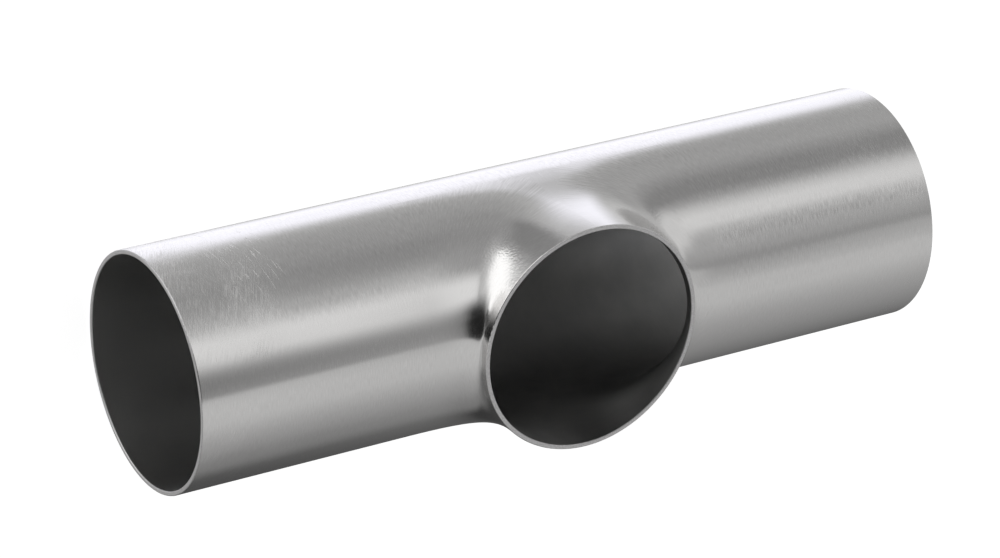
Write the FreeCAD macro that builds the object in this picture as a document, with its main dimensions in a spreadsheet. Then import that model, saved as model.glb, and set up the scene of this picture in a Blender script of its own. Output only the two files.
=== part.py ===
import FreeCAD, Part

import math
import os

from FreeCAD import Placement, Rotation, Vector

# Sanitary weld tee
#
# One piece of thin stainless tube, open at both ends. A branch of the same
# diameter is pulled out of its side, so the wall flows from the run into the
# branch with no weld between them. The three rims are cut square for welding.
#
# The run lies along X and the branch points up along Z. The origin is the point
# where the two axes cross. All lengths are in millimetres.

SIZES = {
    # outside diameter of the tube, the same on run and branch
    "outside_diameter": 101.6,
    # wall of the tube, the same all over
    "wall": 2.0,
    # end to end along the run
    "run_length": 354.0,
    # how far the branch face stands above the top of the run
    "branch_stand": 5.6,
    # straight stretch of the branch just below its face
    "branch_lip": 1.5,
    # how far beyond the side of the branch the run starts to be drawn up
    "neck_reach": 20.0,
    # fullness of the neck: 0.7 is a round arc, a larger number is a tighter corner
    "neck_fullness": 2.0,
    # the small bevel that takes the burr off each rim
    "edge_break": 0.2,
    # how far the tools that cut the bore run past the rims
    "tool_overrun": 5.0,
}

ALONG_X = Rotation(Vector(0, 1, 0), 90)
# the cylinder's own axes in the part: its axis along X and its half turn underneath
HALF_BELOW = Rotation(Vector(0, -1, 0), Vector(0, 0, -1), Vector(1, 0, 0), "ZXY")
UPRIGHT = Rotation()

doc = FreeCAD.newDocument("sanitary_weld_tee")


# Driving dimensions

sheet = doc.addObject("Spreadsheet::Sheet", "Sizes")
for row, (name, value) in enumerate(SIZES.items(), start=1):
    sheet.set(f"A{row}", name)
    sheet.set(f"B{row}", str(value))
    sheet.setAlias(f"B{row}", name)
doc.recompute()

# Where the pieces of the tee meet, as formulas of the sheet's cells
OUTER_RADIUS = "Sizes.outside_diameter / 2"
BORE_RADIUS = "(Sizes.outside_diameter / 2 - Sizes.wall)"
HALF_RUN = "Sizes.run_length / 2"
NECK_END = "(Sizes.outside_diameter / 2 + Sizes.neck_reach)"
BRANCH_FACE = "(Sizes.outside_diameter / 2 + Sizes.branch_stand)"
LIP_START = f"({BRANCH_FACE} - Sizes.branch_lip)"


def cylinder(name, radius, height, rotation, base, half=False):
    """Add a cylinder whose radius, height and place follow the sheet."""
    solid = doc.addObject("Part::Cylinder", name)
    solid.setExpression("Radius", radius)
    solid.setExpression("Height", height)
    if half:
        solid.Angle = 180
    solid.Placement = Placement(Vector(), rotation)
    for axis, formula in base.items():
        solid.setExpression(f"Placement.Base.{axis}", formula)
    return solid


# The neck, where the run's wall turns up into the branch
#
# Cut the tee level, at right angles to Y. The section is a strip along the run
# and a strip along the branch, each as wide as the tube is there. A conic joins
# the two edges on each side, level with the run at its lower end and upright at
# its upper end, and its corner point is where the two strips would cross. As the
# cut moves across the tube these conics sweep out one smooth face.

QUARTER_WEIGHT = math.cos(math.pi / 4)
# half a circle as two quarter arcs: across, up and the weight of each pole
HALF_CIRCLE = [
    (-1, 0, 1),
    (-1, 1, QUARTER_WEIGHT),
    (0, 1, 1),
    (1, 1, QUARTER_WEIGHT),
    (1, 0, 1),
]


def neck_face(side, radius, neck_end, lip_start, fullness):
    """The face that turns the run into the branch on one side, -1 or 1."""
    poles = []
    weights = []
    for across, up, weight in HALF_CIRCLE:
        y = radius * across
        reach = radius * up
        on_run = Vector(side * neck_end, y, reach)
        corner = Vector(side * reach, y, reach)
        on_branch = Vector(side * reach, y, lip_start)
        poles.append([on_run, corner, on_branch])
        weights.append([weight, weight * fullness, weight])
    surface = Part.BSplineSurface()
    surface.buildFromPolesMultsKnots(
        poles, [3, 2, 3], [3, 3], [0, 1, 2], [0, 1], False, False, 2, 2, weights
    )
    return surface.toShape()


def edge_where(face, coordinate, value):
    """The edge of a face along which one coordinate keeps a value."""
    for edge in face.Edges:
        ends_and_middle = edge.discretize(3)
        if all(abs(getattr(point, coordinate) - value) < 1e-6 for point in ends_and_middle):
            return edge
    raise ValueError(f"no edge at {coordinate} = {value}")


def neck_solid(radius):
    """The closed block over the run's middle: neck faces, ends, cheeks and a flat bottom."""
    neck_end = sheet.outside_diameter / 2 + sheet.neck_reach
    lip_start = sheet.outside_diameter / 2 + sheet.branch_stand - sheet.branch_lip
    necks = {side: neck_face(side, radius, neck_end, lip_start, sheet.neck_fullness) for side in (-1, 1)}
    faces = list(necks.values())
    for side, neck in necks.items():
        x = side * neck_end
        arc = edge_where(neck, "x", x)
        base = Part.makeLine(Vector(x, -radius, 0), Vector(x, radius, 0))
        faces.append(Part.Face(Part.Wire([arc, base])))
    for y in (-radius, radius):
        conics = [edge_where(neck, "y", y) for neck in necks.values()]
        base = Part.makeLine(Vector(-neck_end, y, 0), Vector(neck_end, y, 0))
        outline = Part.sortEdges(conics + [base])[0]
        faces.append(Part.Face(Part.Wire(outline)))
    mouth = [edge_where(neck, "z", lip_start) for neck in necks.values()]
    faces.append(Part.Face(Part.Wire(mouth)))
    bottom_corner = Vector(-neck_end, -radius, 0)
    faces.append(Part.makePlane(2 * neck_end, 2 * radius, bottom_corner))
    shell = Part.makeShell(faces)
    shell.sewShape()
    solid = Part.makeSolid(shell)
    if solid.Volume < 0:
        solid.reverse()
    return solid


def tee_form(name, radius_formula, radius, overrun):
    """A solid tee of one radius: two arms, the back, the neck block and the branch's lip."""
    arm = f"{HALF_RUN} - {NECK_END} + {overrun}"
    lip = f"Sizes.branch_lip + {overrun}"
    neck = doc.addObject("Part::Feature", f"{name}_neck")
    neck.Shape = neck_solid(radius)
    neck.Placement = Placement()
    pieces = [
        neck,
        cylinder(f"{name}_left_arm", radius_formula, arm, ALONG_X, {"x": f"-({HALF_RUN}) - {overrun}"}),
        cylinder(f"{name}_right_arm", radius_formula, arm, ALONG_X, {"x": NECK_END}),
        cylinder(f"{name}_back", radius_formula, f"2 * {NECK_END}", HALF_BELOW, {"x": f"-{NECK_END}"}, half=True),
        cylinder(f"{name}_lip", radius_formula, lip, UPRIGHT, {"z": LIP_START}),
    ]
    form = doc.addObject("Part::MultiFuse", name)
    form.Shapes = pieces
    form.Refine = True
    return form


# The outside and the bore have the same form, one wall apart

outer_radius = sheet.outside_diameter / 2
bore_radius = outer_radius - sheet.wall
outside = tee_form("outside", OUTER_RADIUS, outer_radius, "0")
bore = tee_form("bore", BORE_RADIUS, bore_radius, "Sizes.tool_overrun")

tube = doc.addObject("Part::Cut", "tube")
tube.Base = outside
tube.Tool = bore
tube.Refine = True
doc.recompute()


# The rims, each with its burr taken off inside and outside


def on_a_rim(edge):
    """True for the circles where the outside or the bore meets one of the three rims."""
    middle = edge.BoundBox.Center
    at_run_end = edge.BoundBox.XLength < 1e-6 and abs(abs(middle.x) - sheet.run_length / 2) < 1e-6
    face_height = outer_radius + sheet.branch_stand
    at_branch_face = edge.BoundBox.ZLength < 1e-6 and abs(middle.z - face_height) < 1e-6
    return at_run_end or at_branch_face


rims = [number for number, edge in enumerate(tube.Shape.Edges, start=1) if on_a_rim(edge)]
tee = doc.addObject("Part::Chamfer", "tee_body")
tee.Base = tube
tee.Edges = [(number, sheet.edge_break, sheet.edge_break) for number in rims]
tee.Label = "tee_body"
tee.Placement = Placement()
doc.recompute()


# Checks before anything is written

for item in doc.Objects:
    if "Invalid" in item.State or "Error" in item.State:
        raise RuntimeError(f"{item.Label} failed: {item.State}")
for solid in (outside, bore, tube, tee):
    shape = solid.Shape
    if shape.isNull() or not shape.isValid() or len(shape.Solids) != 1:
        raise RuntimeError(f"{solid.Label} is not one sound solid")

body = tee.Shape.Solids[0]
print("rim edges broken:", len(rims))
print("volume in cubic mm:", round(body.Volume, 1), "before the edge break:", round(tube.Shape.Volume, 1))
print("centre of mass:", [round(value, 3) for value in body.CenterOfMass])
print("box:", body.BoundBox)

os.makedirs("parts", exist_ok=True)
tee.Shape.exportStep(f"parts/{tee.Label}.step")
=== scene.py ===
# %% [markdown]
# # A sanitary weld tee in brushed stainless steel
#
# The object is one piece of thin tube with a short branch pulled out of its side. Its
# looks come from three things: the clean sweep of the neck, the satin brushing that
# follows the wall, and the long soft reflections of the studio round it. This lesson
# models the wall as one skin, gives it a real thickness, brushes it, and lights it.
#
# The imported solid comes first. It fixes the place and the size of everything here.

import math

import bpy
import numpy as np
from mathutils import Matrix, Vector


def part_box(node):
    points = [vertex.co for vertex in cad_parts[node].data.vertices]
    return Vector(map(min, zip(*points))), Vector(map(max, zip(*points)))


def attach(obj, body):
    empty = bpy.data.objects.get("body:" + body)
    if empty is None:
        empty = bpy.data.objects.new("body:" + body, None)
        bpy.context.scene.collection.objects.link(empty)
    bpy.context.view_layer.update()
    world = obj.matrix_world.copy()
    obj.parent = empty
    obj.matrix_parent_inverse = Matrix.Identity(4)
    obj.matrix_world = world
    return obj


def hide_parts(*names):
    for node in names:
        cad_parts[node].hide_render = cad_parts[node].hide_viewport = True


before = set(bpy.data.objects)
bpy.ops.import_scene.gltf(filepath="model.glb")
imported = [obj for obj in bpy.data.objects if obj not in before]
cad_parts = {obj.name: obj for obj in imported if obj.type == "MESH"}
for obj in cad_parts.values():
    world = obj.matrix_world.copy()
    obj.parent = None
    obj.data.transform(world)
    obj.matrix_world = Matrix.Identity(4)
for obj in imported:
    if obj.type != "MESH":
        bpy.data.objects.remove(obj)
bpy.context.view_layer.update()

MM = 0.001
low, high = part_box("tee_body")
RADIUS = high.y
HALF_RUN = high.x
BRANCH_FACE = high.z
FLOOR = low.z
print("tube radius", round(RADIUS / MM, 2), "mm, branch face at", round(BRANCH_FACE / MM, 2), "mm")

# %% [markdown]
# ## Camera
#
# The tee lies on the back of its run with the branch pointing up. The photograph looks
# down on it from over one shoulder with a long lens, and holds the branch towards the
# lower right of the picture, so the camera here is rolled by more than a quarter turn.
# A camera is three directions at right angles: towards its back, to its right and up.
# They are built from an azimuth, an elevation and the roll, because those three angles
# say what a photographer would do.

# %% Place the camera
CAMERA_AZIMUTH = math.radians(46.417)
CAMERA_ELEVATION = math.radians(49.430)
CAMERA_ROLL = math.radians(128.017)
CAMERA_DISTANCE = 1782.2 * MM
LOOK_RIGHT = -9.04 * MM
LOOK_UP = 1.76 * MM
LENS = 152.08
SENSOR = 36.0

back = Vector((
    math.sin(CAMERA_AZIMUTH) * math.cos(CAMERA_ELEVATION),
    -math.cos(CAMERA_AZIMUTH) * math.cos(CAMERA_ELEVATION),
    math.sin(CAMERA_ELEVATION),
))
level_right = Vector((0, 0, 1)).cross(back).normalized()
level_up = back.cross(level_right)
right = math.cos(CAMERA_ROLL) * level_right + math.sin(CAMERA_ROLL) * level_up
up = back.cross(right)

bpy.ops.object.camera_add()
camera = bpy.context.object
camera.name = "camera"
camera.data.lens = LENS
camera.data.sensor_width = SENSOR
camera.data.sensor_fit = "HORIZONTAL"
eye = back * CAMERA_DISTANCE + right * LOOK_RIGHT + up * LOOK_UP
camera.matrix_world = Matrix.Translation(eye) @ Matrix((right, up, back)).transposed().to_4x4()
bpy.context.scene.camera = camera
print("camera at", [round(value, 3) for value in eye])

# %% [markdown]
# ## The wall as one skin
#
# The real neck is pulled: a ball drawn through a hole in the run turns the wall
# outwards. It could be modelled as two tubes with a boolean and a bevel, but a boolean
# leaves a ragged seam just where the reflections are strongest. So the skin is lofted
# instead. A ring round the end of the run is extruded inwards. Its upper half then
# climbs through the neck as a row of half hoops, each one moved, turned and narrowed
# a little more than the last, until it lies level as the lip of the branch.
#
# Each hoop's place comes from a conic between the run and the branch, with its corner
# where the two tubes would cross. A fullness of 0.7 would be a round arc; 2 pulls the
# curve into the corner, which is the tight crotch that a pulled neck has.

# %% Sizes of the wall and the neck
WALL = 2.0 * MM
NECK_REACH = 20.0 * MM
BRANCH_LIP = 1.5 * MM
FULLNESS = 2.0
NECK_END = RADIUS + NECK_REACH
LIP_START = BRANCH_FACE - BRANCH_LIP

AROUND = 128
ARM_STEPS = 6
NECK_STEPS = 32


def hoop(step):
    """Hub, half width and tilt of a half hoop: the first stands on the run, the last lies flat."""
    share = step / NECK_STEPS
    on_run = (1 - share) ** 2
    at_corner = 2 * share * (1 - share) * FULLNESS
    on_branch = share ** 2
    total = on_run + at_corner + on_branch
    hub = Vector((NECK_END * on_run / total, 0, LIP_START * on_branch / total))
    across = RADIUS * (at_corner + on_branch) / total
    upwards = RADIUS * (on_run + at_corner) / total
    return hub, math.hypot(across, upwards), math.atan2(across, upwards)


for step in (0, NECK_STEPS // 2, NECK_STEPS):
    hub, width, tilt = hoop(step)
    print("hoop", step, "half width", round(width / MM, 2), "mm, tilt", round(math.degrees(tilt)))

# %% [markdown]
# Selecting by place is what the mouse does in the window. The helper leaves edit mode,
# marks the vertices that pass a test, and goes back in, where edges and faces between
# marked vertices count as selected too.

# %% A helper that selects by place
TOUCH = 0.01 * MM


def pick(piece, test):
    """Select the vertices whose place passes the test, and stay in edit mode."""
    bpy.ops.object.mode_set(mode="EDIT")
    bpy.ops.mesh.select_mode(type="VERT")
    bpy.ops.mesh.select_all(action="DESELECT")
    bpy.ops.object.mode_set(mode="OBJECT")
    for vertex in piece.data.vertices:
        vertex.select = test(vertex.co)
    bpy.ops.object.mode_set(mode="EDIT")


def extrude_to(x=0.0, z=0.0):
    """Extrude the selected edges and move the new ones along X and Z."""
    bpy.ops.mesh.extrude_edges_move(TRANSFORM_OT_translate={"value": (x, 0, z)})


print("places count as the same within", round(TOUCH / MM, 3), "mm")

# %% [markdown]
# The arm is the easy part: a ring at the end of the run, extruded towards the middle.
# Only the right half of the tee is modelled, because the left half is its mirror image.

# %% Extrude the arm of the run
bpy.ops.object.select_all(action="DESELECT")
bpy.ops.mesh.primitive_circle_add(
    vertices=AROUND, radius=RADIUS, location=(HALF_RUN, 0, 0), rotation=(0, math.radians(90), 0)
)
tee = bpy.context.object
tee.name = "brushed_tee"
bpy.ops.object.transform_apply(location=True, rotation=True, scale=True)
bpy.ops.object.mode_set(mode="EDIT")
bpy.ops.mesh.select_all(action="SELECT")
for _ in range(ARM_STEPS):
    extrude_to(x=-(HALF_RUN - NECK_END) / ARM_STEPS)
print("arm vertices:", AROUND * (ARM_STEPS + 1))

# %% [markdown]
# Now the half hoops. Each one is the last one extruded in place, stood upright about
# its hub, stretched or narrowed in height, tilted over, and moved to its new hub. In a
# script with no window transform.rotate turns the other way, so its angles are negated.

# %% Climb through the neck
pick(tee, lambda place: place.x < NECK_END + TOUCH and place.z > -TOUCH)
hub, width, tilt = hoop(0)
for step in range(1, NECK_STEPS + 1):
    next_hub, next_width, next_tilt = hoop(step)
    extrude_to()
    bpy.ops.transform.rotate(value=tilt, orient_axis="Y", center_override=hub)
    bpy.ops.transform.resize(value=(1, 1, next_width / width), center_override=hub)
    bpy.ops.transform.rotate(value=-next_tilt, orient_axis="Y", center_override=hub)
    bpy.ops.transform.translate(value=next_hub - hub)
    hub, width, tilt = next_hub, next_width, next_tilt
extrude_to(z=BRANCH_LIP)
bpy.ops.object.mode_set(mode="OBJECT")
top = max(vertex.co.z for vertex in tee.data.vertices)
print("the neck's last hoop ends at", round(top / MM, 3), "mm")

# %% [markdown]
# The lower half of the run goes straight on under the neck. Its stations are the places
# where the hoops end, so that the two meet vertex to vertex later on.

# %% Extrude the back of the run
SHOULDER = NECK_STEPS // 2
stations = [hoop(step)[0].x for step in range(SHOULDER + 1)] + [0.0]
pick(tee, lambda place: abs(place.x - NECK_END) < TOUCH and place.z < TOUCH)
for near, far in zip(stations, stations[1:]):
    extrude_to(x=far - near)
print("stations under the neck:", len(stations))

# %% [markdown]
# Between the hoops' ends and the back there is a narrow flat cheek on each side, where
# run and branch have the same tangent plane. The hoop ends on the run's side of the
# shoulder are extruded and flattened down to the back, those on the branch's side are
# extruded and flattened to the middle plane, and one face closes the corner.

# %% Close the cheeks
shoulder = hoop(SHOULDER)[0]
for side in (-1, 1):
    def on_cheek(place, side=side):
        return (
            abs(place.y - side * RADIUS) < TOUCH
            and place.x < NECK_END + TOUCH and place.z > -TOUCH
        )

    pick(tee, lambda place: on_cheek(place) and place.x > shoulder.x - TOUCH and (
        place.z > TOUCH or place.x > NECK_END - TOUCH))
    extrude_to()
    bpy.ops.transform.resize(value=(1, 1, 0), center_override=(0, 0, 0))
    pick(tee, lambda place: on_cheek(place) and place.x < shoulder.x + TOUCH
         and shoulder.z - TOUCH < place.z < LIP_START + TOUCH)
    extrude_to()
    bpy.ops.transform.resize(value=(0, 1, 1), center_override=(0, 0, 0))
    bpy.ops.mesh.select_all(action="SELECT")
    bpy.ops.mesh.remove_doubles(threshold=TOUCH)
    pick(tee, lambda place: on_cheek(place) and place.x < shoulder.x + TOUCH
         and place.z < shoulder.z + TOUCH)
    bpy.ops.mesh.edge_face_add()
bpy.ops.object.mode_set(mode="OBJECT")
print("faces in the right half:", len(tee.data.polygons))

# %% [markdown]
# A mirror makes the left half. The skin is then still thin as paper. Its normals are
# made to point outwards before it gets its wall, because the wall grows inwards from
# the outside, and on a closed shell the same command would turn the inner wall round.

# %% Mirror the half and turn its faces outwards
mirror = tee.modifiers.new("mirror", "MIRROR")
mirror.use_axis = (True, False, False)
mirror.merge_threshold = TOUCH
bpy.ops.object.modifier_apply(modifier=mirror.name)
bpy.ops.object.mode_set(mode="EDIT")
bpy.ops.mesh.select_all(action="SELECT")
bpy.ops.mesh.remove_doubles(threshold=TOUCH)
bpy.ops.mesh.normals_make_consistent(inside=False)
bpy.ops.object.mode_set(mode="OBJECT")
lowest = min(tee.data.polygons, key=lambda face: face.center.z)
if lowest.normal.z > 0:
    tee.data.flip_normals()
print("skin faces:", len(tee.data.polygons))

# %% [markdown]
# Pulling the branch also draws the two sides of the tee in, by about a millimetre just
# below the branch. It is too little to see as a shape, but on bare metal it bends the
# reflections, and the photograph shows that bend over the top of the neck. One vertex on
# each side is pushed in, and proportional editing carries its neighbours along, as with
# the O key in the window. The spread stops short of the rim, which is faced true.

# %% Draw the sides in
PINCH = 1.0 * MM
PINCH_HEIGHT = 26.0 * MM
PINCH_SPREAD = 30.0 * MM

for side in (-1, 1):
    middle = Vector((0, side * RADIUS, PINCH_HEIGHT))
    places = [vertex.co.copy() for vertex in tee.data.vertices]
    nearest = min(places, key=lambda place: (place - middle).length)
    pick(tee, lambda place: (place - nearest).length < TOUCH)
    bpy.ops.transform.translate(
        value=(0, -side * PINCH, 0), use_proportional_edit=True,
        proportional_edit_falloff="SMOOTH", proportional_size=PINCH_SPREAD,
    )
bpy.ops.object.mode_set(mode="OBJECT")
side_wall = [
    abs(vertex.co.y) for vertex in tee.data.vertices
    if abs(vertex.co.x) < TOUCH and abs(vertex.co.z - PINCH_HEIGHT) < PINCH_SPREAD / 10
]
print("side wall drawn in by", round((RADIUS - min(side_wall)) / MM, 2), "mm")

# %% [markdown]
# ## Materials
#
# Colours are written as sRGB hex values, as a paint chart would give them, and turned
# to the linear values that a shader needs by one function. Another adds a node with its
# settings and its links, and a third starts an empty material.
#
# Five kinds of node come up again and again, so they get short names. A node's sockets
# go by name or by number, counted from the top. On a Map Range node, 1 and 2 are the
# range that comes in, and 3 and 4 the range that goes out, which is 0 to 1 if not given.
# Noise seldom leaves the range from 0.3 to 0.7, so most patterns start from that.

# %% Three small helpers for materials
MAP, MATH, MIX = "ShaderNodeMapRange", "ShaderNodeMath", "ShaderNodeMixRGB"
NOISE, METAL = "ShaderNodeTexNoise", "ShaderNodeBsdfPrincipled"
USUAL_NOISE = {1: 0.3, 2: 0.7}


def linear(hex_value):
    """Linear RGBA of an sRGB hex value such as C8C6C2."""
    shares = [int(hex_value[start:start + 2], 16) / 255 for start in (0, 2, 4)]
    return [
        share / 12.92 if share <= 0.04045 else ((share + 0.055) / 1.055) ** 2.4
        for share in shares
    ] + [1.0]


def add(tree, kind, inputs=None, links=None, **settings):
    """Add a node with its settings and input values, and link nodes or outputs to it.

    A node given in links stands for its first output.
    """
    made = tree.nodes.new(kind)
    for name, value in settings.items():
        setattr(made, name, value)
    for socket, value in (inputs or {}).items():
        made.inputs[socket].default_value = value
    for socket, source in (links or {}).items():
        tree.links.new(getattr(source, "outputs", [source])[0], made.inputs[socket])
    return made


def new_material(name):
    """A material with only its output node."""
    material = bpy.data.materials.new(name)
    material.use_nodes = True
    material.node_tree.nodes.clear()
    return material, material.node_tree, material.node_tree.nodes.new("ShaderNodeOutputMaterial")


print("a mid grey of BCBCBC is", round(linear("BCBCBC")[0], 3), "in linear light")

# %% [markdown]
# Type 304 stainless is a grey metal, hardly warmer than neutral. Satin tube is finished
# on a belt that runs round it, so the scratches go round the run, and at the neck they
# follow the wall round the branch. Light spreads across scratches and hardly along them:
# that is what the shader's anisotropy does, and its Tangent node reads the direction
# across the grain from the UV map named grain. U is measured across the scratches and
# V along them, both in metres, so the pattern needs no other scale.
#
# Each scratch is a few hundredths of a millimetre wide and would never show in a
# picture of the whole tee, so the grain here is drawn coarser, a third of a millimetre
# wide and four millimetres long. It changes the tone, the roughness and the bump.

# %% Streaks along the grain
GRAIN_WIDTH = 0.34 * MM
GRAIN_LENGTH = 4.0 * MM


def streaks(tree, width, length, slant=0.0, detail=3.0, offset=0.0):
    """Noise drawn out along the scratches, optionally slanted off them."""
    grain_map = add(tree, "ShaderNodeUVMap", uv_map="grain")
    turned = add(tree, "ShaderNodeMapping", {"Rotation": (0, 0, slant)}, {"Vector": grain_map})
    scaled = add(
        tree, "ShaderNodeMapping",
        {"Location": (offset, offset, 0), "Scale": (1 / width, 1 / length, 1)}, {"Vector": turned},
    )
    return add(
        tree, NOISE, {"Scale": 1.0, "Detail": detail, "Roughness": 0.6},
        {"Vector": scaled}, noise_dimensions="2D",
    )


print("grain", round(GRAIN_WIDTH / MM, 2), "mm wide,", round(GRAIN_LENGTH / MM, 1), "mm long")

# %% [markdown]
# The belt doesn't work everywhere alike. It bore harder on the back of the tube than on
# its belly, and where the wall was stretched to form the neck its grain is calmer. Some
# places were dressed by hand afterwards, with a pad that leaves finer marks slantwise
# across the grain: the back of one end above all, the other end a little, and the neck.
# The tight crotch on each side of the branch keeps small dents, because no tool gets in.
#
# Each of these zones is a range of places along one axis of the tee, over which its
# strength goes from one value to another. A table of them is easier to read, and to
# change, than a dozen nodes set one by one.

# %% Zones of the brushed skin
brushed, tree, output = new_material("brushed_stainless_satin_belt")
place = add(tree, "ShaderNodeTexCoord").outputs["Object"]
spot = add(tree, "ShaderNodeSeparateXYZ", links={0: place})
from_middle = add(tree, MATH, links={0: spot.outputs["X"]}, operation="ABSOLUTE")

ZONES = {
    # name: what is read, where the zone starts and ends, its strength before and after
    "back": (spot.outputs["Y"], -38 * MM, -18 * MM, 1.0, 0.3),
    "belly": (spot.outputs["Y"], -30 * MM, 12 * MM, 0.0, 0.6),
    "near_end": (spot.outputs["X"], 115 * MM, 165 * MM, 0.0, 1.0),
    "far_end": (spot.outputs["X"], -110 * MM, -165 * MM, 0.0, 0.3),
    "neck": (spot.outputs["Z"], 38 * MM, 50 * MM, 0.0, 0.2),
    "stretched": (spot.outputs["Z"], 0 * MM, 35 * MM, 0.0, 0.5),
    "round_branch": (from_middle, 80 * MM, 55 * MM, 0.0, 1.0),
    "crotch_inside": (from_middle, 22 * MM, 30 * MM, 0.0, 1.0),
    "crotch_outside": (from_middle, 48 * MM, 40 * MM, 0.0, 1.0),
    "crotch_height": (spot.outputs["Z"], 26 * MM, 36 * MM, 0.0, 1.0),
    "scratched_from": (spot.outputs["X"], 120 * MM, 132 * MM, 0.0, 1.0),
    "scratched_to": (spot.outputs["X"], 164 * MM, 154 * MM, 0.0, 1.0),
    "scratched_back": (spot.outputs["Y"], -37 * MM, -44 * MM, 0.0, 1.0),
}
zone = {
    name: add(tree, MAP, {1: start, 2: end, 3: before, 4: after}, {0: source})
    for name, (source, start, end, before, after) in ZONES.items()
}
print("zones:", ", ".join(zone))

# %% [markdown]
# The zones are then put together with the patterns. The grain is mixed towards a middle
# grey where it should be calm. The hand marks are streaks on a slant, broken into
# patches by a wide noise. Handling has left a few single scratches in one place on the
# back: they are the peaks of a noise that is drawn out almost along the grain. The dents
# are a plain noise about a millimetre across.

# %% Grain, hand marks and dents
HAND_SLANT = math.radians(24)
HAND_WIDTH = 0.36 * MM
HAND_LENGTH = 10.0 * MM
PATCH = 22.0 * MM
SCRATCH_SLANT = math.radians(-9)
SCRATCH_WIDTH = 0.7 * MM
SCRATCH_LENGTH = 9.0 * MM
CROTCH_DENT = 0.9 * MM
CROTCH_DENT_DEPTH = 12.0  # in depths of the grain
MIDDLE_GREY = (0.5, 0.5, 0.5, 1.0)
TIMES = {"operation": "MULTIPLY"}
LARGER = {"operation": "MAXIMUM"}

belt = streaks(tree, GRAIN_WIDTH, GRAIN_LENGTH)
calm_neck = add(tree, MATH, links={0: zone["stretched"], 1: zone["round_branch"]}, **TIMES)
calm = add(tree, MATH, links={0: zone["belly"], 1: calm_neck}, **LARGER)
grain = add(tree, MIX, {2: MIDDLE_GREY}, {0: calm, 1: belt})

dressed_near = add(tree, MATH, links={0: zone["near_end"], 1: zone["back"]}, **TIMES)
dressed_ends = add(tree, MATH, links={0: dressed_near, 1: zone["far_end"]}, operation="ADD")
dressed_neck = add(tree, MATH, links={0: zone["neck"], 1: zone["round_branch"]}, **TIMES)
dressed = add(tree, MATH, links={0: dressed_ends, 1: dressed_neck}, **LARGER)
patches = add(tree, NOISE, {"Scale": 1 / PATCH, "Detail": 2.0}, {"Vector": place})
patchy = add(tree, MAP, {1: 0.42, 2: 0.62, 3: 0.45, 4: 1.0}, {0: patches})
dressed_patches = add(tree, MATH, links={0: dressed, 1: patchy}, **TIMES)
slanted = streaks(tree, HAND_WIDTH, HAND_LENGTH, slant=HAND_SLANT, detail=2.0, offset=5.0)
rubbed = add(tree, MAP, {1: 0.45, 2: 0.62, 3: 0.35, 4: 1.0}, {0: slanted})
pad_marks = add(tree, MATH, links={0: dressed_patches, 1: rubbed}, **TIMES)

sparse = streaks(
    tree, SCRATCH_WIDTH, SCRATCH_LENGTH, slant=SCRATCH_SLANT, detail=0.0, offset=11.0)
peaks = add(tree, MAP, {1: 0.76, 2: 0.82}, {0: sparse})
scratched = add(
    tree, MATH, links={0: zone["scratched_from"], 1: zone["scratched_to"]}, **TIMES)
scratched_spot = add(tree, MATH, links={0: scratched, 1: zone["scratched_back"]}, **TIMES)
scratches = add(tree, MATH, links={0: scratched_spot, 1: peaks}, **TIMES)
hand_marks = add(tree, MATH, links={0: pad_marks, 1: scratches}, **LARGER)

beside_neck = add(
    tree, MATH, links={0: zone["crotch_inside"], 1: zone["crotch_outside"]}, **TIMES)
in_crotch = add(tree, MATH, links={0: beside_neck, 1: zone["crotch_height"]}, **TIMES)
small_noise = add(tree, NOISE, {"Scale": 1 / CROTCH_DENT, "Detail": 2.0}, {"Vector": place})
dents = add(tree, MAP, {**USUAL_NOISE, 4: CROTCH_DENT_DEPTH}, {0: small_noise})
print("hand marks", round(HAND_WIDTH / MM, 2), "mm wide, dents", round(CROTCH_DENT / MM, 2), "mm")

# %% [markdown]
# The shader takes the patterns three ways. The grain moves the tone a little, and the
# hand marks are paler. Both change the roughness, from nearly a mirror between the
# belt's scratches to quite dull in the hand marks. The bump gives the grain its depth:
# a few thousandths of a millimetre, and ten times that in the crotch.

# %% Brushed stainless steel
GRAIN_DEPTH = 0.0024 * MM
HAND_MARK_DEPTH = -0.5  # in depths of the grain
HAND_MARK_ROUGHNESS = 0.42  # on top of the belt's
BELT_ROUGHNESS = {3: 0.07, 4: 0.19}
ANISOTROPY = 0.6

grain_share = add(tree, MAP, {1: 0.28, 2: 0.72}, {0: grain})
belt_tone = add(tree, MIX, {1: linear("D1D0CF"), 2: linear("E4E3E2")}, {0: grain_share})
tone = add(tree, MIX, {2: linear("EFEEED")}, {0: hand_marks, 1: belt_tone})
belt_roughness = add(tree, MAP, {**USUAL_NOISE, **BELT_ROUGHNESS}, {0: grain})
roughness = add(
    tree, MATH, {1: HAND_MARK_ROUGHNESS}, {0: hand_marks, 2: belt_roughness},
    operation="MULTIPLY_ADD",
)
marked = add(
    tree, MATH, {1: HAND_MARK_DEPTH}, {0: hand_marks, 2: grain}, operation="MULTIPLY_ADD")
height = add(tree, MATH, links={0: in_crotch, 1: dents, 2: marked}, operation="MULTIPLY_ADD")
bump = add(tree, "ShaderNodeBump", {"Strength": 1.0, "Distance": GRAIN_DEPTH}, {"Height": height})
across = add(tree, "ShaderNodeTangent", direction_type="UV_MAP", uv_map="grain")
shine = add(
    tree, METAL, {"Metallic": 1.0, "Anisotropic": ANISOTROPY},
    {"Base Color": tone, "Roughness": roughness, "Normal": bump, "Tangent": across},
)
tree.links.new(shine.outputs["BSDF"], output.inputs["Surface"])
print("nodes in the brushed finish:", len(tree.nodes))
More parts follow.
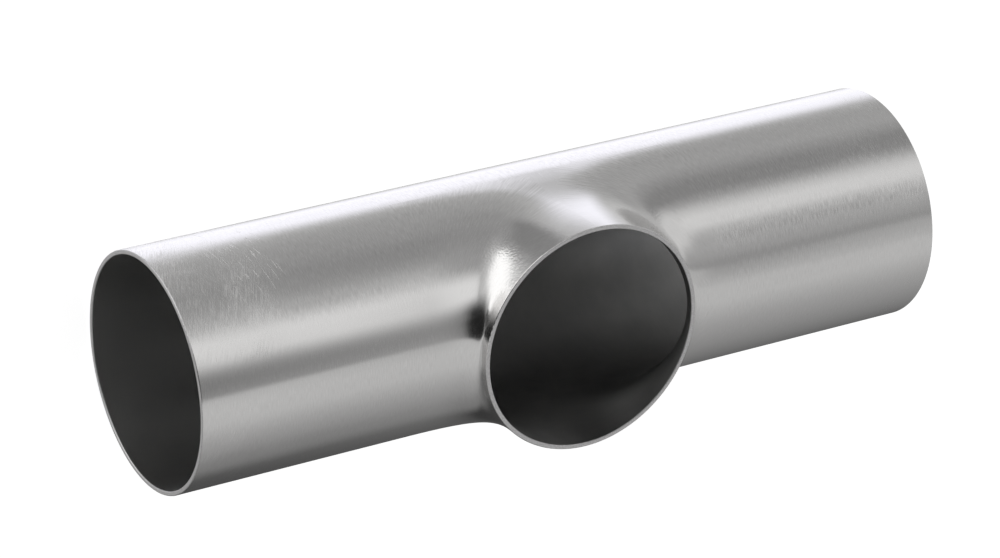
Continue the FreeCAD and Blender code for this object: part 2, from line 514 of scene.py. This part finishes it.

# %% [markdown]
# Inside, the tube keeps the dull pickled skin it had before brushing: darker, blurred,
# and a little cloudy. The pull has left faint marks that run the way the grain does
# outside. Near each end the bore's tone is painted lighter: this is painted light, where
# the room's light reaches into the open tube.

# %% Dull bore
CLOUD = 14.0 * MM
PULL_WIDTH = 1.2 * MM
PULL_LENGTH = 14.0 * MM
PULL_STRENGTH = 0.04
# Painted light: between these distances from the middle the bore's tone grows lighter towards each
# open end.
PAINTED_LIGHT_FROM = 100 * MM
PAINTED_LIGHT_TO = 165 * MM

dull, tree, output = new_material("dull_stainless_pickled_bore")
place = add(tree, "ShaderNodeTexCoord").outputs["Object"]
clouds = add(tree, NOISE, {"Scale": 1 / CLOUD, "Detail": 3.0}, {"Vector": place})
pulled = streaks(tree, PULL_WIDTH, PULL_LENGTH, detail=2.0)
pull_marks = add(
    tree, MAP, {**USUAL_NOISE, 3: -PULL_STRENGTH, 4: PULL_STRENGTH}, {0: pulled})
cover = add(tree, MATH, links={0: clouds, 1: pull_marks}, operation="ADD")
cover_share = add(tree, MAP, USUAL_NOISE, {0: cover})
spot = add(tree, "ShaderNodeSeparateXYZ", links={0: place})
from_middle = add(tree, MATH, links={0: spot.outputs["X"]}, operation="ABSOLUTE")
# Painted light near the ends: the paler tone BFBFBE stands in for light reaching into the bore.
painted_light_near_ends = add(tree, MAP, {1: PAINTED_LIGHT_FROM, 2: PAINTED_LIGHT_TO}, {0: from_middle})
pickled_tone = add(tree, MIX, {1: linear("A7A7A7"), 2: linear("B2B2B1")}, {0: cover_share})
tone = add(tree, MIX, {2: linear("BFBFBE")}, {0: painted_light_near_ends, 1: pickled_tone})
roughness = add(tree, MAP, {**USUAL_NOISE, 3: 0.37, 4: 0.34}, {0: cover})
shine = add(tree, METAL, {"Metallic": 1.0}, {"Base Color": tone, "Roughness": roughness})
tree.links.new(shine.outputs["BSDF"], output.inputs["Surface"])
print("nodes in the dull finish:", len(tree.nodes))

# %% [markdown]
# The rims are sawn and faced, which leaves a fine speckle of torn and cut metal. It is
# too fine to show as marks, so it is drawn about half a millimetre across, and most of
# what it gives the eye is a soft grey that blurs the room more than the brushing does.

# %% Cut rim
SPECKLE = 0.5 * MM

cut, tree, output = new_material("stainless_sawn_and_faced_rim")
place = add(tree, "ShaderNodeTexCoord").outputs["Object"]
speckle = add(tree, NOISE, {"Scale": 1 / SPECKLE, "Detail": 2.0}, {"Vector": place})
speckle_share = add(tree, MAP, USUAL_NOISE, {0: speckle})
tone = add(tree, MIX, {1: linear("BDBCBC"), 2: linear("DAD9D9")}, {0: speckle_share})
roughness = add(tree, MAP, {**USUAL_NOISE, 3: 0.48, 4: 0.38}, {0: speckle})
shine = add(tree, METAL, {"Metallic": 1.0}, {"Base Color": tone, "Roughness": roughness})
tree.links.new(shine.outputs["BSDF"], output.inputs["Surface"])

for material in (brushed, dull, cut):
    tee.data.materials.append(material)
print("materials:", ", ".join(material.name for material in tee.data.materials))

# %% [markdown]
# ## Thickness and rims
#
# The skin is the outside of the tube, so its wall has to grow inwards. An inner skin
# could be extruded and shrunk by hand, but a Solidify modifier keeps the same thickness
# all round the neck, and it gives the bore and the rims material slots of their own.

# %% Give the skin its wall
wall = tee.modifiers.new("wall", "SOLIDIFY")
wall.thickness = WALL
wall.offset = -1
wall.use_even_offset = True
wall.use_quality_normals = True
wall.material_offset = 1
wall.material_offset_rim = 2
bpy.ops.object.modifier_apply(modifier=wall.name)
print("faces with the wall:", len(tee.data.polygons))

# %% [markdown]
# A saw and a facing cut leave each rim square, and a deburring tool takes its edges off.
# That small bevel makes the rim catch the light as a thin bright line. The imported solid
# has an edge break of 0.2 mm. It is drawn twice as wide here, because a picture of the
# whole tee would lose anything finer.
#
# Faces are smoothed only where they meet at a small angle: the neck's faces do, and the
# bevel's don't, so the bevel can't bend the light on the arm beside it.

# %% Take the edges off the rims
EDGE_BREAK = 0.4 * MM
BEVEL_STEPS = 3
SMOOTH_BELOW = math.radians(12)

pick(tee, lambda place: abs(abs(place.x) - HALF_RUN) < TOUCH or abs(place.z - BRANCH_FACE) < TOUCH)
bpy.ops.mesh.select_mode(type="EDGE")
bpy.ops.object.mode_set(mode="OBJECT")


def goes_round_a_rim(edge):
    """True for edges that run round a rim and not across its width."""
    one, other = (tee.data.vertices[index].co for index in edge.vertices)
    if abs(one.z - BRANCH_FACE) < TOUCH:
        return abs(one.xy.length - other.xy.length) < TOUCH
    return abs(one.yz.length - other.yz.length) < TOUCH


for edge in tee.data.edges:
    edge.select = edge.select and goes_round_a_rim(edge)
bpy.ops.object.mode_set(mode="EDIT")
bpy.ops.mesh.bevel(offset=EDGE_BREAK, segments=BEVEL_STEPS, affect="EDGES", clamp_overlap=True)
bpy.ops.object.mode_set(mode="OBJECT")
bpy.ops.object.shade_smooth_by_angle(angle=SMOOTH_BELOW)
print("finished faces:", len(tee.data.polygons))

# %% [markdown]
# The grain map gives every corner of every face its place across and along the
# scratches. On the arms, across is just the distance along the run. In the neck the
# planes of all the hoops pass through one line, so the angle about that line tells
# which hoop a point lies on. Along is the way round the hoop, and it starts again at
# the bottom of the run, so the faces that close the circle get a full turn added.

# %% Write the grain map
NECK_GRAIN = 45.0 * MM

places = np.empty(len(tee.data.vertices) * 3)
tee.data.vertices.foreach_get("co", places)
places = places.reshape(-1, 3)
run_share = 1 - np.abs(places[:, 0]) / NECK_END
branch_share = 1 - np.clip(places[:, 2], 0, LIP_START) / LIP_START
turned = np.arctan2(np.clip(run_share, 0, 1), branch_share) / math.radians(90)
across_grain = -NECK_GRAIN * turned
across_grain -= NECK_END * np.minimum(run_share, 0)
across_grain -= np.clip(places[:, 2] - LIP_START, 0, None)
across_grain *= np.where(places[:, 0] < 0, -1, 1)
round_run = np.arctan2(places[:, 1], places[:, 2])
round_hoop = np.where(
    (np.abs(places[:, 0]) < NECK_END) & (places[:, 2] > 0),
    np.arcsin(np.clip(places[:, 1] / RADIUS, -1, 1)), round_run,
)

corners = np.empty(len(tee.data.loops), dtype=int)
tee.data.loops.foreach_get("vertex_index", corners)
grain_uv = np.stack([across_grain[corners], round_hoop[corners] * RADIUS], axis=1)
full_turn = 2 * math.pi * RADIUS
for face in tee.data.polygons:
    loops = slice(face.loop_start, face.loop_start + face.loop_total)
    along = grain_uv[loops, 1]
    if along.max() - along.min() > full_turn / 2:
        grain_uv[loops, 1] = np.where(along < 0, along + full_turn, along)
grain_layer = tee.data.uv_layers.new(name="grain")
grain_layer.data.foreach_set("uv", grain_uv.astype(np.float32).ravel())
print("grain map spans", np.round(np.ptp(grain_uv, axis=0), 3), "m")

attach(tee, "root")
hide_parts("tee_body")

# %% [markdown]
# ## Studio
#
# Bare metal shows the room it stands in, so lighting it means arranging what it sees.
# The tee lies in a round tent of grey cloth, and lights and flags hang in front of the
# cloth. They could stand close by, as on a real table top, but then each arm of the run
# would see them from another side. Hung metres away they look the same from both arms,
# as the long even bands in the photograph do.
#
# A direction is given by two angles: how far it goes round the run from straight up,
# towards +Y, and how far it leans along the run, towards +X.

# %% Directions in the studio
TENT_RADIUS = 8.0


def towards(round_run, lean, distance):
    """The point at a distance in the direction given by the two angles in degrees."""
    turn, tip = math.radians(round_run), math.radians(lean)
    direction = Vector((
        math.sin(tip), math.cos(tip) * math.sin(turn), math.cos(tip) * math.cos(turn)))
    return direction * distance


def stage_piece(piece, name):
    """Name a piece of the studio and hide it from the camera."""
    piece.name = name
    piece.visible_camera = False
    piece.visible_shadow = False
    return piece


print("quarter of a turn towards +Y is", [round(value, 3) for value in towards(90, 0, 1)])

# %% [markdown]
# The cloth is lit unevenly. Each list gives its tone at angles round the run: one for
# the band straight across the run, one for the end of the tent that lies towards the
# far arm. A colour ramp holds each list and blends between its stops. The lists started
# from readings of the photo's mean tone in each reflected direction. They were then
# changed, over many renders, until the tee's tones came near the photo's.

# %% Tones of the cloth
ACROSS_TONES = [
    (-180, 0.74), (-160, 0.60), (-143, 0.58), (-130, 0.46), (-112, 0.38), (-90, 0.35),
    (-70, 0.40), (-30, 0.50), (-14, 0.40), (-5, 0.34), (5, 0.33), (7.5, 0.64),
    (18, 0.65), (32, 0.62), (50, 0.45), (75, 0.27), (100, 0.19), (125, 0.13),
    (140, 0.12), (165, 0.66),
]
FAR_END_TONES = [
    (-180, 0.74), (-142, 0.50), (-130, 0.44), (-110, 0.46), (-90, 0.30), (-78, 0.30),
    (-70, 0.43), (-62, 0.70), (-54, 0.87), (-45, 0.83), (-37, 0.54), (-29, 0.43),
    (-22, 0.46), (-12, 0.43), (-7, 0.37), (-2, 0.37), (3, 0.44), (10, 0.50),
    (19, 0.62), (34, 0.62), (60, 0.45), (125, 0.17), (140, 0.14), (165, 0.66),
]
FAR_END_STARTS = math.radians(-22)
FAR_END_FULL = math.radians(-32)


def tone_ramp(tree, tones, angle_share):
    """A colour ramp of greys from pairs of angle round the run and tone."""
    ramp = add(tree, "ShaderNodeValToRGB", links={0: angle_share})
    stops = ramp.color_ramp.elements
    stops.remove(stops[-1])
    for number, (angle, tone) in enumerate(tones):
        stop = stops[0] if number == 0 else stops.new((angle + 180) / 360)
        stop.color = (tone, tone, tone, 1)
    return ramp


print("tones of the cloth:", len(ACROSS_TONES), "across and", len(FAR_END_TONES), "at the far end")

# %% [markdown]
# The cloth works out the angle round the run from its own coordinates, and the lean
# blends the two ramps. It is only ever found by a ray that the metal or the table sends
# out, so it is left out of the list of lamps, which saves most of the render's time.

# %% Tent
TENT_SEGMENTS = 48

bpy.ops.object.select_all(action="DESELECT")
bpy.ops.mesh.primitive_uv_sphere_add(
    segments=TENT_SEGMENTS, ring_count=TENT_SEGMENTS // 2, radius=TENT_RADIUS)
tent = stage_piece(bpy.context.object, "tent")

cloth, tree, output = new_material("tent_cloth")
place = add(tree, "ShaderNodeTexCoord").outputs["Object"]
spot = add(tree, "ShaderNodeSeparateXYZ", links={0: place})
angle = add(
    tree, MATH, links={0: spot.outputs["Y"], 1: spot.outputs["Z"]}, operation="ARCTAN2")
share = add(tree, MAP, {1: -math.pi, 2: math.pi}, {0: angle})
across_run = tone_ramp(tree, ACROSS_TONES, share)
far_end = tone_ramp(tree, FAR_END_TONES, share)
lean = add(
    tree, MAP,
    {1: TENT_RADIUS * math.sin(FAR_END_STARTS), 2: TENT_RADIUS * math.sin(FAR_END_FULL)},
    {0: spot.outputs["X"]}, interpolation_type="SMOOTHSTEP",
)
tone = add(tree, MIX, links={0: lean, 1: across_run, 2: far_end})
lamp = add(tree, "ShaderNodeEmission", {"Strength": 1.0}, {"Color": tone})
tree.links.new(lamp.outputs[0], output.inputs["Surface"])
cloth.cycles.emission_sampling = "NONE"
tent.data.materials.append(cloth)
print("tent radius", TENT_RADIUS, "m")

# %% [markdown]
# Lights and flags are cards with soft edges. Each is a grid whose points are laid out
# between its four corners, so a card can be slanted and bends with the tent. Its edges
# fade to clear by the UV map that the grid comes with. Every new card hangs a little
# nearer than the last, so it covers the ones before it. Cards show in the metal only:
# they throw no light on the table and no shadow.

# %% A card
CARD_STEP = 0.15
CARD_CUTS = 16
hung_so_far = []


def card(name, corners, strength, fade, hue="FFFFFF"):
    """Hang a soft-edged card of one hue between four corners, given as pairs of angles."""
    near_low, far_low, near_high, far_high = (Vector(corner) for corner in corners)
    hung_so_far.append(name)
    distance = TENT_RADIUS - CARD_STEP * len(hung_so_far)
    bpy.ops.object.select_all(action="DESELECT")
    bpy.ops.mesh.primitive_grid_add(x_subdivisions=CARD_CUTS, y_subdivisions=CARD_CUTS, size=1)
    piece = stage_piece(bpy.context.object, name)
    piece.visible_diffuse = False
    for vertex in piece.data.vertices:
        u, v = vertex.co.x + 0.5, vertex.co.y + 0.5
        angles = near_low.lerp(far_low, u).lerp(near_high.lerp(far_high, u), v)
        vertex.co = towards(angles.x, angles.y, distance)
    material, tree, output = new_material(name)
    grid_map = add(tree, "ShaderNodeTexCoord").outputs["UV"]
    shares = add(tree, "ShaderNodeSeparateXYZ", links={0: grid_map})
    edges = []
    for axis, width in zip("XY", fade):
        off = add(tree, MATH, {1: 0.5}, {0: shares.outputs[axis]}, operation="SUBTRACT")
        from_centre = add(tree, MATH, links={0: off}, operation="ABSOLUTE")
        edges.append(add(
            tree, MAP, {1: 0.5, 2: 0.5 - width}, {0: from_centre},
            interpolation_type="SMOOTHSTEP",
        ))
    cover = add(tree, MATH, links=dict(enumerate(edges)), **TIMES)
    clear = add(tree, "ShaderNodeBsdfTransparent")
    light = add(tree, "ShaderNodeEmission", {"Strength": strength, "Color": linear(hue)})
    shown = add(tree, "ShaderNodeMixShader", links={0: cover, 1: clear, 2: light})
    tree.links.new(shown.outputs[0], output.inputs["Surface"])
    material.cycles.emission_sampling = "NONE"
    piece.data.materials.append(material)


print("the first card hangs", TENT_RADIUS - CARD_STEP, "m away")

# %% [markdown]
# The corners go near and far along the low edge, then near and far along the high edge.
# The last two numbers say how much of the card's width and height each soft edge takes.
#
# The first cards fill the two ends of the tent, which only the neck turns far enough to
# see. A dark one hangs under the front of the tee and darkens the lower edge that the
# tube has in the picture. A step of light draws the fine line that runs from the neck
# along the far arm, and a small light hangs where the flat rim of the near end reflects.

# %% Fills
card("low_pole", ((-200, -89), (-10, -89), (-200, -50), (-10, -50)), 0.60, (0.1, 0.4))
card("low_fill", ((-122, -76), (-18, -76), (-78, -35), (-14, -35)), 0.77, (0.34, 0.2))
card("near_end_fill", ((22, 40), (200, 50), (22, 89), (200, 89)), 0.49, (0.15, 0.42))
card("dark_below", ((84, -33), (165, -33), (84, 16), (165, 16)), 0.05, (0.25, 0.4))
card("far_step", ((-4, -75), (18, -75), (-4, -33), (18, -33)), 0.56, (0.2, 0.06))
card("end_light", ((118, 14), (182, 14), (118, 46), (182, 46)), 0.62, (0.35, 0.35))
print("fills:", ", ".join(hung_so_far))

# %% [markdown]
# The next cards hang along the tee. The top strip gives the whole upper edge of the tube
# its bright band: it is a window, so there is a little blue in it. The front strip and
# the fill beside it draw the bright band along the near arm and the grey above it, and a
# flag keeps the side of the neck that turns away from them grey.

# %% Strips along the tee
card("top_strip", ((-200, -43), (-139, -43), (-200, 14), (-139, 14)), 1.37, (0.34, 0.14),
     "F7F7FF")
card("front_strip", ((-56, -29.5), (-8, -29.5), (-66, 5), (-20, 5)), 0.95, (0.40, 0.11))
card("front_fill", ((-112, -8), (-18, -8), (-112, 40), (-22, 46)), 0.68, (0.3, 0.45))
card("flag_behind", ((-164, -14), (-110, -14), (-164, 32), (-106, 17)), 0.28, (0.35, 0.3))
print("strips, the last one being", hung_so_far[-1])

# %% [markdown]
# The key light is a large softbox over the near arm. Its reflection is the white patch
# in the near crotch, and the soft and the sharp flag beside it draw that patch's dark
# edge. The flag over it keeps the rest of the neck from washing out.

# %% Key light and its flags
card("key_edge", ((-130, 8), (-40, 13), (-130, 74), (-42, 62)), 1.36, (0.5, 0.35))
card("key_softbox", ((-215, 55), (-78, 6), (-215, 80), (-78, 72)), 1.42, (0.2, 0.08))
card("flag_over", ((-200, 70), (-50, 65), (-200, 89), (-50, 89)), 0.10, (0.05, 0.2))
card("flag_soft", ((-25, -28), (6, -28), (-83, 89), (7, 89)), 0.03, (0.45, 0.18))
card("flag_sharp", ((-9, -21), (7, -23), (-40, 89), (9, 89)), 0.02, (0.08, 0.09))
print("cards in all:", len(hung_so_far))

# %% [markdown]
# The table is a plain pale floor. The camera sees it as white, like the sky behind it,
# with a faint soft shadow where the tee keeps the light of the tent off it. The metal
# looks through it at the lower half of the tent, as it would at an evenly lit table.

# %% Table
TABLE_SIZE = 14.0
CAMERA_LIFT = 0.84

bpy.ops.object.select_all(action="DESELECT")
bpy.ops.mesh.primitive_plane_add(size=TABLE_SIZE, location=(0, 0, FLOOR))
floor = bpy.context.object
floor.name = "floor"

floor_paint, tree, output = new_material("pale_table")
rays = add(tree, "ShaderNodeLightPath")
lift = add(tree, MATH, {1: CAMERA_LIFT}, {0: rays.outputs["Is Camera Ray"]}, **TIMES)
table = add(tree, "ShaderNodeBsdfDiffuse", {"Color": linear("BCBCBC")})
glow = add(tree, "ShaderNodeEmission", {"Color": linear("FFFFFF")}, {"Strength": lift})
seen = add(tree, "ShaderNodeAddShader", links={0: table, 1: glow})
clear = add(tree, "ShaderNodeBsdfTransparent")
choose = add(
    tree, "ShaderNodeMixShader", links={0: rays.outputs["Is Glossy Ray"], 1: seen, 2: clear})
tree.links.new(choose.outputs[0], output.inputs["Surface"])
floor_paint.cycles.emission_sampling = "NONE"
floor.data.materials.append(floor_paint)
print("table", TABLE_SIZE, "m wide,", round(-FLOOR / MM, 1), "mm below the run's axis")

# %% [markdown]
# The world behind everything is plain white to the camera and a little light to the
# rest. The Standard view shows each colour as it is written.

# %% Background
SKY_LIGHT = 0.4

world = bpy.data.worlds.new("studio")
bpy.context.scene.world = world
world.use_nodes = True
tree = world.node_tree
tree.nodes.clear()
output = tree.nodes.new("ShaderNodeOutputWorld")
rays = add(tree, "ShaderNodeLightPath")
level = add(tree, MAP, {3: SKY_LIGHT, 4: 1.0}, {0: rays.outputs["Is Camera Ray"]})
sky = add(tree, "ShaderNodeBackground", {"Color": linear("FFFFFF")}, {"Strength": level})
tree.links.new(sky.outputs[0], output.inputs["Surface"])

bpy.context.scene.view_settings.view_transform = "Standard"
print("sky light", SKY_LIGHT, "of the white that the camera sees")
